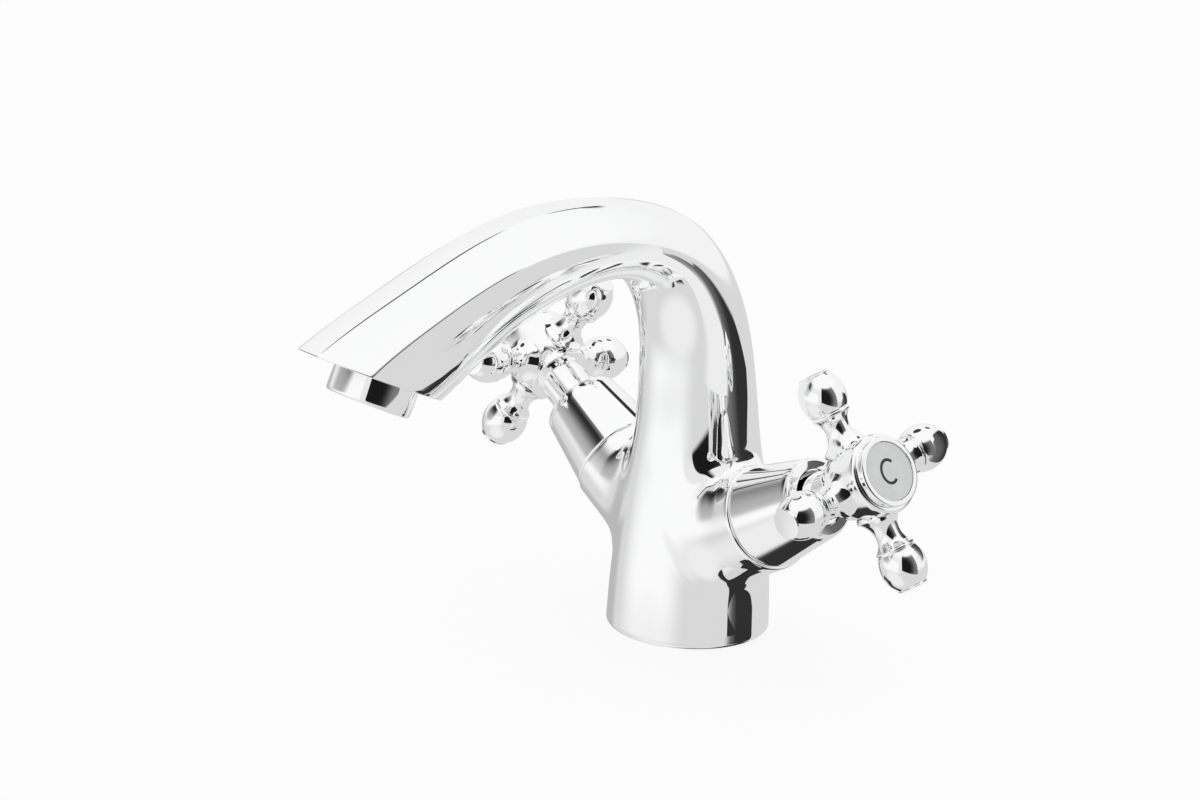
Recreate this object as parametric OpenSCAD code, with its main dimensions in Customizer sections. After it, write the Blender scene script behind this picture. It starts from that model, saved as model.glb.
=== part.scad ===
/* [Foot and column] */
// Diameter of the foot on the basin
foot_d = 50; // [48:0.5:54]
// Radius of the foot's lower edge
foot_edge = 1.2; // [0.5:0.1:2]
// Diameter of the column where the arch starts
neck_d = 35; // [34:0.5:37]

/* [Spout] */
// Distance from the column's axis to the aerator's centre
spout_reach = 123; // [115:1:135]
// Height of the arch's widest line above the basin
arch_h = 132.5; // [128:0.5:145]
// Height of the aerator's seat above the basin
outlet_h = 99; // [96:0.5:104]
// Tilt of the spout's end face
outlet_tilt = 24.5; // [20:0.5:28]
// Width of the crown between its two creases
crown_w = 9; // [7:0.5:11]
// Extra fall of the spout's side at the crease
ridge_angle = 24; // [16:1:26]
// Diameter of the waterway through column and arch
waterway_d = 11; // [8:0.5:12]

/* [Valve branches] */
// Height at which both valve axes meet the column's axis
valve_h = 24.5; // [24:0.5:28]
// Angle of the valve axes above the horizontal
valve_tilt = 30; // [26:1:34]
// Distance along a valve axis from the column's axis to the branch face
branch_len = 38.7; // [38:0.1:44]
// Diameter of the branch
branch_d = 32.4; // [31.6:0.2:34]
// Reach of the blend between branch and column
blend_reach = 9; // [5:0.5:10]
// Round on the edge of the branch face
branch_edge = 0.8; // [0.3:0.1:1.2]

/* [Shrouds] */
// Length of the shroud
shroud_len = 24; // [23:0.5:28]
// Diameter of the shroud at the branch
shroud_d = 31.2; // [30.8:0.2:32]
// Diameter of the shroud at its outer end
shroud_end_d = 24.2; // [23:0.2:26]
// Wall of the shroud
shroud_wall = 2; // [1.6:0.1:2.2]
// Diameter of the mouth that the handle's skirt enters
mouth_d = 16.6; // [16:0.1:17.6]

/* [Headworks] */
// Diameter of the headwork's thread
headwork_d = 20.8; // [20:0.2:21.4]
// Depth of the headwork's seat below the branch face
seat_depth = 15.7; // [15.2:0.1:18]
// Diameter of the inlet hole in the seat
seat_hole_d = 9; // [6:0.5:10]
// Diameter of the ceramic discs
disc_d = 16.6; // [16:0.1:17]
// Thickness of each ceramic disc
disc_t = 3; // [2.5:0.1:3.4]
// Thickness of the rubber seat washer
washer_t = 1.8; // [1.2:0.1:2.2]
// Width across the flats of the headwork's hexagon
hex_w = 21; // [19:0.5:21.5]
// Height of the hexagon
hex_h = 4.8; // [3:0.1:5.4]
// Diameter of the thread that carries the shroud
collar_d = 20; // [18:0.2:20.4]
// Distance from the branch face to the headwork's top
headwork_top = 17.5; // [16.5:0.1:18]
// Diameter of the spindle
spindle_d = 8; // [7:0.1:8.4]
// Travel of a handle from shut to open, in degrees
travel = 90; // [80:1:95]

/* [Handles] */
// Distance from the branch face to the plane of the four arms
arms_at = 43.8; // [43:0.1:48]
// Diameter of the hub at the arms
hub_d = 22.8; // [22:0.2:25]
// Diameter of the hub behind its front edge
hub_front_d = 24; // [22.8:0.2:25]
// Diameter of the hub's rear rim
rim_d = 20; // [19:0.2:21]
// Distance from the arms' plane back to the hub's rear rim
hub_back = 7.5; // [7:0.1:9]
// Distance from the arms' plane forward to the hub's front face
hub_front = 10.1; // [9.6:0.1:12]
// Diameter of the skirt that runs into the shroud
skirt_d = 14.6; // [14:0.1:15]
// Distance from a valve axis to the widest part of a knob
knob_at = 26.9; // [26:0.1:30]
// Diameter of a knob
knob_d = 14; // [13:0.2:14.6]
// Distance from a valve axis to a knob's flat tip
knob_tip = 33.9; // [33:0.1:36]
// Diameter of the flat tip
tip_d = 9.2; // [7:0.1:10]
// Diameter of an arm at its waist
arm_d = 7.6; // [6.6:0.1:8.4]
// Distance from a valve axis to an arm's waist
waist_at = 17; // [16:0.1:18]
// Diameter of the bead between arm and knob
bead_d = 11.8; // [10.6:0.1:12]
// Turn of the shut handles about their axes
handle_turn = 11.5; // [0:0.5:30]
// Diameter of the index bezel
bezel_d = 21; // [20:0.1:21.4]
// Width of the bezel's lip round the index plate
bezel_lip = 1.7; // [1.2:0.1:2]
// Height of the bezel in front of the hub
bezel_h = 2.2; // [1.8:0.1:3]

/* [Aerator] */
// Diameter of the aerator's ring
aerator_d = 25; // [24:0.1:26]
// Height of the ring below the spout's end face
aerator_h = 7.7; // [6:0.1:9]
// Diameter of the aerator's thread
aerator_thread_d = 23.6; // [22.6:0.1:24]
// Depth of the aerator's thread in the spout
aerator_depth = 5; // [4:0.5:7]

/* [Hidden] */
$fn = 64;
cut = 1;         // how far a cutting tool runs past what it cuts
fit = 0.05;      // radial clearance of a thread or a sliding fit
play = 0.2;      // end clearance between turning and standing pieces
chrome = "#d8dadd";
brass = "#c8a45a";
steel = "#b4b7bb";
ceramic = "#f1efe8";
rubber = "#26282a";
plastic = "#e9e9e6";

neck_r = neck_d / 2;
foot_r = foot_d / 2;
ridge_w = crown_w / 2;
branch_r = branch_d / 2;

// Stations along the column and the spout, evenly spaced in the spline's own
// measure: place as a share of the reach, height, then the section above, below
// and beside the widest line as shares of the neck's radius, then the share of the
// ridge angle. On the column the section is round, and swell is how much of the
// foot's extra radius it has. Heights are shares of the arch's height as far as
// its top, and from there shares of the drop to the outlet.
swell = [1, 0.93, 0.73, 0.47, 0.13];
column_step = 0.121;
column = [for (k = [0:4]) let (r = 1 + (foot_r / neck_r - 1) * swell[k]) [0, arch_h * column_step * k, r, r, r, 0]];
rise = [
    [0.012, 0.623, 1.00, 1.00, 1.00, 0.00],
    [0.045, 0.758, 0.94, 0.74, 1.00, 0.00],
    [0.126, 0.887, 0.89, 0.66, 1.00, 0.08],
    [0.240, 0.958, 0.63, 0.66, 1.00, 0.25],
    [0.390, 0.996, 0.46, 0.89, 1.00, 0.42],
    [0.561, 1.000, 0.46, 1.23, 0.94, 0.58]
];
fall = [
    [0.748, 0.166, 0.43, 1.43, 0.89, 0.71],
    [0.923, 0.447, 0.43, 1.77, 0.89, 0.83],
    [1.089, 0.732, 0.49, 1.77, 0.91, 0.92],
    [1.224, 1.060, 0.57, 1.20, 1.03, 1.00]
];
function row_at(row, z) = [row[0], z, row[2], row[3], row[4], row[5]];
stations = concat(column,
    [for (row = rise) row_at(row, arch_h * row[1])],
    [for (row = fall) row_at(row, arch_h - (arch_h - outlet_h) * row[1])]);
last = len(stations) - 1;
joint_station = 3;      // the column is round and upright up to here
rings_per_station = 4;

// A uniform cubic spline through rows of numbers, and its direction
padded = concat([2 * stations[0] - stations[1]], stations, [2 * stations[last] - stations[last - 1]]);
function spline(s) = let (i = min(floor(s), last - 1), t = s - i)
    (pow(1 - t, 3) * padded[i] + (3 * t * t * t - 6 * t * t + 4) * padded[i + 1]
    + (-3 * t * t * t + 3 * t * t + 3 * t + 1) * padded[i + 2] + t * t * t * padded[i + 3]) / 6;
function slope(s) = let (i = min(floor(s), last - 1), t = s - i)
    (-pow(1 - t, 2) * padded[i] + (3 * t * t - 4 * t) * padded[i + 1]
    + (-3 * t * t + 2 * t + 1) * padded[i + 2] + t * t * padded[i + 3]) / 2;

// Radius of the column at a height
function column_r(z) = neck_r * spline(z / (arch_h * column_step))[2];

// One side of a section, from the crown's middle round to the belly's middle:
// a flat crown as far as the crease, a side that falls from it and a round belly
crown_steps = 3;
side_steps = 7;
belly_steps = 10;
function half_section(above, below, half, ridge) = let (
    lean = asin(ridge_w / half),
    fade = max(1 - ridge / 12, 0.15),
    crease = above - (half - sqrt(half * half - ridge_w * ridge_w)) * fade,
    fall = lean + ridge,
    knee = max(crease - tan(fall) * (half - ridge_w), 0.15 * crease),
    weight = cos((90 - fall) / 2))
    concat(
        [for (k = [0:crown_steps - 1]) let (t = k / crown_steps)
            [ridge_w * t, crease + tan(lean * fade) * ridge_w / 2 * (1 - t * t)]],
        [for (k = [0:side_steps - 1]) let (t = k / side_steps, a = (1 - t) * (1 - t),
            b = 2 * weight * t * (1 - t), c = t * t)
            [(a * ridge_w + (b + c) * half) / (a + b + c), (a * crease + b * knee) / (a + b + c)]],
        [for (k = [0:belly_steps]) let (w = 90 * k / belly_steps)
            [half * cos(w), -below * sin(w)]]);
function section(above, below, half, ridge) = let (
    one = half_section(above, below, half, ridge), n = len(one))
    concat(one, [for (k = [n - 2:-1:1]) [-one[k][0], one[k][1]]]);

// The section's points in space, square to the spline
function ring_at(s) = let (
    v = spline(s), d = slope(s),
    run = [-spout_reach * d[0], d[1]],
    up = [run[1], -run[0]] / norm(run),
    y = -spout_reach * v[0], z = v[1])
    [for (p = section(neck_r * v[2], neck_r * v[3], neck_r * v[4], ridge_angle * v[5]))
        [p[0], y + up[0] * p[1], z + up[1] * p[1]]];

// A closed skin over rings of equal length, which turn clockwise as seen from
// the end that they run to
module skin(rings) {
    n = len(rings[0]);
    m = len(rings);
    points = [for (r = rings) each r];
    faces = concat(
        [for (i = [0:m - 2], j = [0:n - 1]) let (k = (j + 1) % n, a = i * n, b = a + n)
            [a + j, b + k, b + j]],
        [for (i = [0:m - 2], j = [0:n - 1]) let (k = (j + 1) % n, a = i * n, b = a + n)
            [a + j, a + k, b + k]],
        [[for (j = [n - 1:-1:0]) j]],
        [[for (j = [0:n - 1]) (m - 1) * n + j]]);
    polyhedron(points = points, faces = faces, convexity = 8);
}

module on_valve(side) {
    translate([0, 0, valve_h]) rotate([0, side * (90 - valve_tilt), 0]) children();
}
module on_face(side) {
    on_valve(side) translate([0, 0, branch_len]) children();
}
module at_outlet() {
    translate([0, -spout_reach, outlet_h]) rotate([-outlet_tilt, 0, 0]) children();
}
module ring(outer_r, inner_r, low, high) {
    translate([0, 0, low]) difference() {
        cylinder(r = outer_r, h = high - low);
        translate([0, 0, -cut]) cylinder(r = inner_r, h = high - low + 2 * cut);
    }
}
module rod(radius, low, high) {
    translate([0, 0, low]) cylinder(r = radius, h = high - low);
}
// A slice of a ring, centred on the direction of X
module slice(outer_r, inner_r, low, high, spread) {
    translate([0, 0, low]) rotate([0, 0, -spread / 2]) rotate_extrude(angle = spread)
        translate([inner_r, 0]) square([outer_r - inner_r, high - low]);
}

// Body
joint_z = spline(joint_station)[1];
lap = 2;                // the spout's skin starts this far down, just outside the column
lap_lip = 0.12;
column_top = joint_z - lap + 0.1;
column_steps = 12;
module column_solid() {
    rotate_extrude() polygon(concat(
        [[0, 0], [foot_r - foot_edge, 0]],
        [for (a = [-60:30:0]) [foot_r - foot_edge + foot_edge * cos(a), foot_edge + foot_edge * sin(a)]],
        [for (k = [1:column_steps]) let (z = column_top * k / column_steps) [column_r(z), z]],
        [[0, column_top]]));
}
module spout_solid() {
    count = (last - joint_station) * rings_per_station;
    widest_step = 13;   // largest angle between two points of the round section
    lap_r = (column_r(joint_z - lap) + lap_lip) / cos(widest_step / 2);
    lap_ring = [for (p = ring_at(joint_station)) let (w = atan2(p[1], p[0]))
        [lap_r * cos(w), lap_r * sin(w), joint_z - lap]];
    difference() {
        skin(concat([lap_ring], [for (k = [0:count]) ring_at(joint_station + k / rings_per_station)]));
        at_outlet() translate([-foot_d, -foot_d, -foot_d]) cube([2 * foot_d, 2 * foot_d, foot_d]);
    }
}

// Blend between a branch and the column: each line along the branch turns
// into the column's surface over a distance of blend_reach
blend_sides = 40;
blend_steps = 5;
blend_sink = 0.3;       // how far the blend's foot lies below the column's surface
blend_skin = 0.05;      // how far the blend starts inside the branch's cylinder
blend_apex = 6;         // where the blend closes on the valve axis, inside the column
blend_margin = 0.5;     // how far the blend's outer end stays from the branch's edge
reach_margin = 0.2;
apex_share = 0.3;       // size of the blend's last ring, as a share of its foot
core_r = 0.5;           // the branch widens inside the column from this share of its radius
core_len = 0.6;         // and has its full radius from this share of its length
function valve_point(side, s, r, w) = let (
    c = cos(valve_tilt), n = sin(valve_tilt))
    [side * (s * c - r * cos(w) * n), r * sin(w), valve_h + s * n + r * cos(w) * c];
function to_column(p, sink) = let (k = (column_r(p[2]) - sink) / norm([p[0], p[1]]))
    [p[0] * k, p[1] * k, p[2]];
function meeting(side, r, w, low, high, left) = let (
    mid = (low + high) / 2, p = valve_point(side, mid, r, w))
    left == 0 ? mid : norm([p[0], p[1]]) > column_r(p[2])
        ? meeting(side, r, w, low, mid, left - 1) : meeting(side, r, w, mid, high, left - 1);
blend_r = branch_r - blend_skin;
blend_edge_s = branch_len - branch_edge - blend_margin;
function blend_line(side, w) = let (
    at = meeting(side, blend_r, w, 0, blend_edge_s, 14),
    reach = min(blend_reach, blend_edge_s - at - reach_margin),
    a = valve_point(side, at + reach, blend_r, w),
    b = valve_point(side, at, blend_r, w),
    c = to_column(valve_point(side, at, blend_r + reach, w), blend_sink))
    [for (k = [0:blend_steps]) let (t = k / blend_steps)
        (1 - t) * (1 - t) * a + 2 * t * (1 - t) * b + t * t * c];
module branch_blend(side) {
    turns = [for (j = [0:blend_sides - 1]) -side * 360 * j / blend_sides];
    lines = [for (w = turns) blend_line(side, w)];
    apex = valve_point(side, blend_apex, 0, 0);
    skin(concat(
        [[for (w = turns) valve_point(side, blend_edge_s, blend_r, w)]],
        [for (k = [0:blend_steps]) [for (l = lines) l[k]]],
        [[for (l = lines) apex + apex_share * (l[blend_steps] - apex)]]));
}
module branch_solid(side) {
    branch_blend(side);
    on_valve(side) rotate_extrude() polygon(concat(
        [[0, blend_apex], [branch_r * core_r, blend_apex], [branch_r, branch_len * core_len]],
        [for (a = [0:30:90]) [branch_r - branch_edge + branch_edge * cos(a),
            branch_len - branch_edge + branch_edge * sin(a)]],
        [[0, branch_len]]));
}

// Openings in the body
inlet_r = 4.5;
inlet_at = [9.5, 4];
inlet_thread = 11;
stud_r = 3.4;
stud_at = -12;
stud_depth = 16;
groove_wall = 2.2;      // metal between the foot's outside and the seal's groove
groove_w = 2.3;
groove_t = 1.8;
groove_outer = foot_r - groove_wall;
groove_inner = groove_outer - groove_w;
chamber_w = 1.2;        // room round the headwork for the water
seal_w = 1.9;
seal_t = 1.8;
chamber_r = headwork_d / 2 + chamber_w;
seal_r = headwork_d / 2 + seal_w;
thread_end = 10.8;      // depth of the headwork's thread below the branch face
feed_s = 11;            // where the inlet drilling meets the seat's drilling
feed_r = 2.7;           // slanted drilling between the two
cross_at = 46;          // height of the drilling that joins both chambers
cross_r = 3.2;
cross_end = 16.2;
arc_share = 0.35;       // radius of the waterway's arc as a share of the reach
arc_rise = 0.961;       // and its top as a share of the arch's height
arc_r = arc_share * spout_reach;
arc_h = arc_rise * arch_h - arc_r;
well_h = 12;            // depth of the waterway's mouth behind the aerator
well_step = 1.2;        // ledge behind the aerator's thread
well_lap = 2.4;
module valve_cuts(side) {
    on_face(side) {
        rod(headwork_d / 2 + fit, -seat_depth, cut);
        rod(seal_r, -seal_t, cut);
        rod(chamber_r, -seat_depth, -thread_end);
    }
    on_valve(side) rod(seat_hole_d / 2, feed_s - seat_hole_d / 2, branch_len - seat_depth + cut);
    feed_x = side * feed_s * cos(valve_tilt);
    feed_z = valve_h + feed_s * sin(valve_tilt);
    translate([side * inlet_at[0], inlet_at[1], -cut]) cylinder(r = inlet_r, h = inlet_thread + cut);
    translate([side * inlet_at[0], 0, 0]) hull() {
        translate([0, inlet_at[1], inlet_thread - cut]) cylinder(r = feed_r, h = cut, $fn = 24);
        translate([feed_x - side * inlet_at[0], 0, feed_z]) sphere(r = feed_r, $fn = 24);
    }
}
// The straight run from the end of the arc to the aerator touches the arc
module waterway() {
    r = waterway_d / 2;
    target = [-spout_reach + well_h * sin(outlet_tilt), outlet_h + well_h * cos(outlet_tilt)];
    v = target - [-arc_r, arc_h];
    far = norm(v);
    sweep_angle = atan2(v[1], v[0]) - acos(arc_r / far);
    run = sqrt(far * far - arc_r * arc_r);
    inner = r - fit;
    translate([0, 0, cross_at - cross_r]) cylinder(r = inner, h = arc_h - cross_at + cross_r + cut);
    translate([0, -arc_r, arc_h]) rotate([90, 0, 90]) rotate_extrude(angle = sweep_angle)
        translate([arc_r, 0]) circle(r = r);
    translate([0, -arc_r, arc_h]) rotate([sweep_angle, 0, 0]) translate([0, arc_r, -cut])
        cylinder(r = inner, h = run + cut);
    translate([-cross_end, 0, cross_at]) rotate([0, 90, 0]) cylinder(r = cross_r, h = 2 * cross_end);
    at_outlet() translate([0, 0, -cut]) cylinder(r = aerator_thread_d / 2 + fit, h = aerator_depth + cut);
    at_outlet() cylinder(r = aerator_thread_d / 2 - well_step, h = well_h - well_lap);
}
module body_casting() {
    color(chrome) difference() {
        union() {
            column_solid();
            spout_solid();
            for (side = [-1, 1]) branch_solid(side);
        }
        for (side = [-1, 1]) valve_cuts(side);
        waterway();
        translate([0, stud_at, -cut]) cylinder(r = stud_r, h = stud_depth + cut);
        ring(groove_outer, groove_inner, -cut, groove_t);
    }
}
module base_seal() {
    color(rubber) ring(groove_outer - fit, groove_inner + fit, 0, groove_t);
}

// Shroud: a tapered cover that screws on the headwork's collar
web_low = hex_h + 4.2;
web_high = web_low + 6;
shroud_round = 1;
web_neck = 0.2;
function shroud_r(f) = shroud_d / 2 - (shroud_d - shroud_end_d) / 2 * f / shroud_len;
module shroud(side) {
    edge = branch_edge;
    color(chrome) on_face(side) difference() {
        rotate_extrude() polygon(concat(
            [[0, 0], [shroud_r(0) - edge, 0]],
            [for (a = [-60:30:0]) [shroud_r(edge) - edge + edge * cos(a), edge + edge * sin(a)]],
            [for (a = [0:22.5:90]) [shroud_r(shroud_len) - shroud_round + shroud_round * cos(a),
                shroud_len - shroud_round + shroud_round * sin(a)]],
            [[0, shroud_len]]));
        translate([0, 0, -cut]) cylinder(h = web_low + cut, r1 = shroud_r(-cut) - shroud_wall - web_neck,
            r2 = shroud_r(web_low) - shroud_wall - web_neck);
        rod(collar_d / 2 + fit, 0, web_high);
        rod(mouth_d / 2, web_high - cut, shroud_len + cut);
    }
}

// Headwork
flange_t = 1.2;
flange_over = 0.7;      // how far the flange reaches past the seal
skirt_in = 1;           // the headwork below its thread is this much thinner
seal_bed = 2;
neck_in = 1.4;          // room between the headwork's neck and the shroud's mouth
collar_end = 0.5;
disc_r = disc_d / 2;
spindle_r = spindle_d / 2;
disc_low = -seat_depth + washer_t;
disc_mid = disc_low + disc_t;
disc_high = disc_mid + disc_t;
flange_w = 2.5;         // thickness of the spindle's flange
flange_high = disc_high + flange_w;
rib_low = flange_high + play;
rib_h = 4;
rib_high = rib_low + rib_h;
rib_r = 5.7;
lug_gap = 0.5;          // turn left between a lug and a rib at each end, in degrees
lug_spread = (180 - travel) / 2 - 2 * lug_gap;
module bonnet(side) {
    inner = disc_r + fit;
    window = 7;
    color(brass) on_face(side) difference() {
        union() {
            rod(headwork_d / 2 - skirt_in, -seat_depth + play, -thread_end);
            rod(headwork_d / 2, -thread_end, -seal_t);
            rod(seal_r - seal_bed, -seal_t, 0);
            rod(seal_r + flange_over, 0, flange_t);
            translate([0, 0, flange_t]) cylinder(d = hex_w / cos(30), h = hex_h, $fn = 6);
            rod(collar_d / 2, flange_t + hex_h - cut, web_high - collar_end);
            rod(mouth_d / 2 - neck_in, web_high - cut, headwork_top);
        }
        rod(inner, -seat_depth - cut, rib_low);
        difference() {
            rod(inner, rib_low - cut, rib_high);
            for (a = [0, 180]) rotate([0, 0, handle_turn + a - lug_spread / 2 - lug_gap])
                slice(inner + cut, rib_r, rib_low, rib_high + cut, lug_spread);
        }
        rod(spindle_r + fit, rib_high - cut, headwork_top + cut);
        rotate([0, 0, handle_turn + 90]) translate([-headwork_d, -window / 2, disc_mid])
            cube([2 * headwork_d, window, disc_t]);
    }
}
module bonnet_seal(side) {
    mid = (seal_r + headwork_d / 2) / 2;
    radius = (seal_r - headwork_d / 2) / 2 - fit;
    color(rubber) on_face(side) translate([0, 0, -seal_t / 2]) rotate_extrude()
        translate([mid, 0]) circle(r = min(radius, seal_t / 2), $fn = 24);
}
module seat_washer(side) {
    color(rubber) on_face(side) ring(disc_r - fit, seat_hole_d / 2 + 0.7, -seat_depth, disc_low);
}
// Each disc has two quarter openings, and they meet when the valve is open
port_r = [3, 6.6];
port_spread = 80;
drive_w = 3;            // key of the spindle in the moving disc
drive_t = 1.2;
port_roof = 0.6;        // disc left between a port and the key's slot
module fixed_disc(side) {
    color(ceramic) on_face(side) difference() {
        rod(disc_r - fit, disc_low, disc_mid);
        for (a = [90, 270]) rotate([0, 0, handle_turn + a])
            slice(port_r[1], port_r[0], disc_low - cut, disc_mid + cut, port_spread);
    }
}
module moving_disc(side) {
    color(ceramic) on_face(side) difference() {
        rod(disc_r - 4 * fit, disc_mid, disc_high);
        for (a = [0, 180]) rotate([0, 0, handle_turn + a])
            slice(disc_r + cut, port_r[0], disc_mid - cut, disc_high - drive_t - port_roof, port_spread);
        rotate([0, 0, handle_turn]) translate([-disc_d, -drive_w / 2 - fit, disc_high - drive_t - fit])
            cube([2 * disc_d, drive_w + 2 * fit, 2 * drive_t]);
    }
}

// Outline with small teeth, for the spindle's drive and the handle's socket
teeth = 20;
tooth_h = 0.4;
function tooth_outline(r) = [for (k = [0:4 * teeth - 1]) let (
    w = 90 * k / teeth, q = (k % 4 < 2) ? r : r - tooth_h) [q * cos(w), q * sin(w)]];
drive_up = 4.4;         // the spindle's teeth end this far in front of the arms' plane
drive_top = arms_at + drive_up;
socket_down = 4;        // and the handle's socket starts this far behind its rear rim
socket_low = arms_at - hub_back - socket_down;
seals_at = [3, 7.5];
seal_groove_w = 1.5;
seal_section = 0.65;
clip_t = 0.9;
clip_gap = 0.15;
clip_low = headwork_top + clip_gap;
clip_cut = 0.7;         // depth of the clip's groove
clip_w = 1.4;           // how far the clip stands out from the spindle
seal_grip = 0.02;
screw_r = 2;
screw_hole = 14;
module spindle(side) {
    groove = spindle_r + fit - 2 * seal_section - seal_grip;
    color(brass) on_face(side) rotate([0, 0, handle_turn]) difference() {
        union() {
            rod(disc_r - 4 * fit, disc_high, flange_high);
            rod(rib_r - play, flange_high - cut, rib_high - play);
            for (a = [0, 180]) rotate([0, 0, a + lug_spread / 2 + lug_gap])
                slice(disc_r - play, rib_r - 1, flange_high - cut, rib_high - play, lug_spread);
            translate([-disc_r + 1, -drive_w / 2, disc_high - drive_t])
                cube([disc_d - 2, drive_w, drive_t + 0.2]);
            rod(spindle_r, flange_high, socket_low);
            translate([0, 0, socket_low - cut]) linear_extrude(drive_top - socket_low + cut)
                polygon(tooth_outline(spindle_r - fit));
        }
        for (f = seals_at) ring(spindle_r + cut, groove, f, f + seal_groove_w);
        ring(spindle_r + cut, spindle_r - clip_cut, clip_low, clip_low + clip_t + 2 * fit);
        rod(screw_r + fit, drive_top - screw_hole, drive_top + cut);
    }
}
module spindle_seals(side) {
    color(rubber) on_face(side) for (f = seals_at)
        translate([0, 0, f + seal_groove_w / 2]) rotate_extrude()
            translate([spindle_r + fit - seal_grip - seal_section, 0]) circle(r = seal_section, $fn = 24);
}
module spindle_clip(side) {
    gap = 60;
    color(steel) on_face(side) rotate([0, 0, 200])
        slice(spindle_r + clip_w, spindle_r - clip_cut + fit, clip_low + fit, clip_low + fit + clip_t, 360 - gap);
}

// Cross handle: a hub, four arms with bulb knobs and a skirt into the shroud
web_t = 1.5;
web_gap = 0.3;
web_at = drive_top + web_gap;
pocket_r = 6;
spigot_in = 1.6;        // the bezel's spigot is this much smaller than the bezel
spigot_r = bezel_d / 2 - spigot_in;
spigot_len = 2.5;
spigot_wall = 1;
hub_high = arms_at + hub_front;
skirt_gap = 2;
skirt_low = headwork_top + skirt_gap;
skirt_edge = 0.4;
skirt_foot = 0.6;
rim_t = 1.4;
rim_neck = 0.6;         // depth of the groove in front of the rim
neck_t = 0.6;
neck_out = 0.2;
hub_round = 1.3;
module hub_outline() {
    back = arms_at - hub_back;
    hub_r = hub_d / 2;
    rim_r = rim_d / 2;
    front_r = hub_front_d / 2;
    skirt_r = skirt_d / 2;
    rim_front = back + rim_t;
    side_low = rim_front + 1.4;
    side_r = rim_r + neck_out;
    polygon([
        [0, skirt_low], [skirt_r - skirt_edge, skirt_low], [skirt_r, skirt_low + skirt_edge],
        [skirt_r, back - skirt_foot], [skirt_r + skirt_foot, back], [rim_r - skirt_edge, back],
        [rim_r, back + skirt_edge], [rim_r, rim_front], [rim_r - rim_neck, rim_front + neck_t / 2],
        [rim_r - rim_neck, rim_front + neck_t * 1.5], [side_r, side_low],
        for (k = [1:6]) let (t = k / 6) [side_r + (hub_r - side_r) * sin(90 * t),
            side_low + (arms_at - side_low) * t],
        for (k = [1:6]) let (t = k / 6) [hub_r + (front_r - hub_r) * sin(90 * t),
            arms_at + (hub_front - hub_round) * t],
        for (a = [22.5:22.5:90]) [front_r - hub_round + hub_round * cos(a),
            hub_high - hub_round + hub_round * sin(a)],
        [0, hub_high]]);
}
bead_back = 5.4;        // how far the bead lies behind the knob's widest part
bead_at = knob_at - bead_back;
bead_round = 0.7;
root_r = 7;             // hollow between hub and waist
shoulder_r = 5.2;       // hollow between waist and bead
barrel_r = 9.2;         // lengthwise curve of a knob
tip_t = 0.7;
tip_round = 0.3;
arm_root = 10.5;        // where an arm starts, inside the hub
root_back = 0.5;        // how far an arm's root stays in front of the hub's rear
function hollow(r, from) = min(arm_d / 2 + r - sqrt(r * r - from * from), hub_back - root_back);
function barrel(y) = knob_d / 2 - barrel_r + sqrt(barrel_r * barrel_r - pow(y - knob_at, 2));
module arm_outline() {
    knob_low = bead_at + bead_round + 0.2;
    knob_high = knob_tip - tip_t;
    polygon(concat(
        [[0, 0], [hollow(root_r, waist_at - arm_root), 0]],
        [for (k = [0:6]) let (y = arm_root + (waist_at - arm_root) * k / 6) [hollow(root_r, waist_at - y), y]],
        [for (k = [1:4]) let (y = waist_at + (bead_at - bead_round - waist_at) * k / 4)
            [hollow(shoulder_r, y - waist_at), y]],
        [for (a = [-60:30:60]) [bead_d / 2 - bead_round + bead_round * cos(a), bead_at + bead_round * sin(a)]],
        [for (k = [0:12]) let (y = knob_low + (knob_high - knob_low) * k / 12) [barrel(y), y]],
        [for (a = [0:30:90]) [tip_d / 2 - tip_round + tip_round * cos(a), knob_tip - tip_round + tip_round * sin(a)]],
        [[0, knob_tip]]));
}
module handle(side) {
    color(chrome) on_face(side) rotate([0, 0, handle_turn]) difference() {
        union() {
            rotate_extrude() hub_outline();
            for (a = [0:90:270]) rotate([0, 0, a]) translate([0, 0, arms_at])
                rotate([0, 90, 0]) rotate_extrude() arm_outline();
        }
        rod(spindle_r + clip_w + 2 * play, skirt_low - cut, socket_low);
        translate([0, 0, socket_low - cut]) linear_extrude(web_at - socket_low + cut)
            polygon(tooth_outline(spindle_r + 2 * fit));
        rod(screw_r + play, web_at - cut, web_at + web_t + cut);
        rod(pocket_r, web_at + web_t, hub_high + cut);
        rod(spigot_r + fit, hub_high - spigot_len - play, hub_high + cut);
    }
}
module handle_screw(side) {
    head_low = web_at + web_t;
    head_r = 3.6;
    head_t = 2.4;
    slot_w = 0.9;
    slot_r = 2.2;
    shank = 13;
    color(steel) on_face(side) difference() {
        union() {
            rod(screw_r, head_low - shank, head_low + fit);
            rod(head_r, head_low, head_low + head_t);
        }
        for (a = [0, 90]) rotate([0, 0, a]) translate([-slot_r, -slot_w / 2, head_low + head_t / 2])
            cube([2 * slot_r, slot_w, head_t]);
    }
}
plate_r = bezel_d / 2 - bezel_lip;
plate_t = 1;
plate_in = 0.4;         // how deep the plate's face lies in its bezel
bezel_round = 0.6;
plate_low = hub_high + bezel_h - plate_in - plate_t;
module index_ring(side) {
    outer = bezel_d / 2;
    inner = spigot_r - spigot_wall;
    color(chrome) on_face(side) rotate_extrude() difference() {
        union() {
            translate([inner, hub_high - spigot_len]) square([spigot_r - inner, spigot_len + 0.5]);
            polygon(concat([[inner, hub_high], [outer, hub_high]],
                [for (a = [0:30:90]) [outer - bezel_round + bezel_round * cos(a),
                    hub_high + bezel_h - bezel_round + bezel_round * sin(a)]],
                [[inner, hub_high + bezel_h]]));
        }
        translate([-cut, plate_low]) square([plate_r + fit + cut, bezel_h]);
    }
}
module index_plate(side) {
    color(plastic) on_face(side) rod(plate_r, plate_low, plate_low + plate_t);
}

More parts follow.
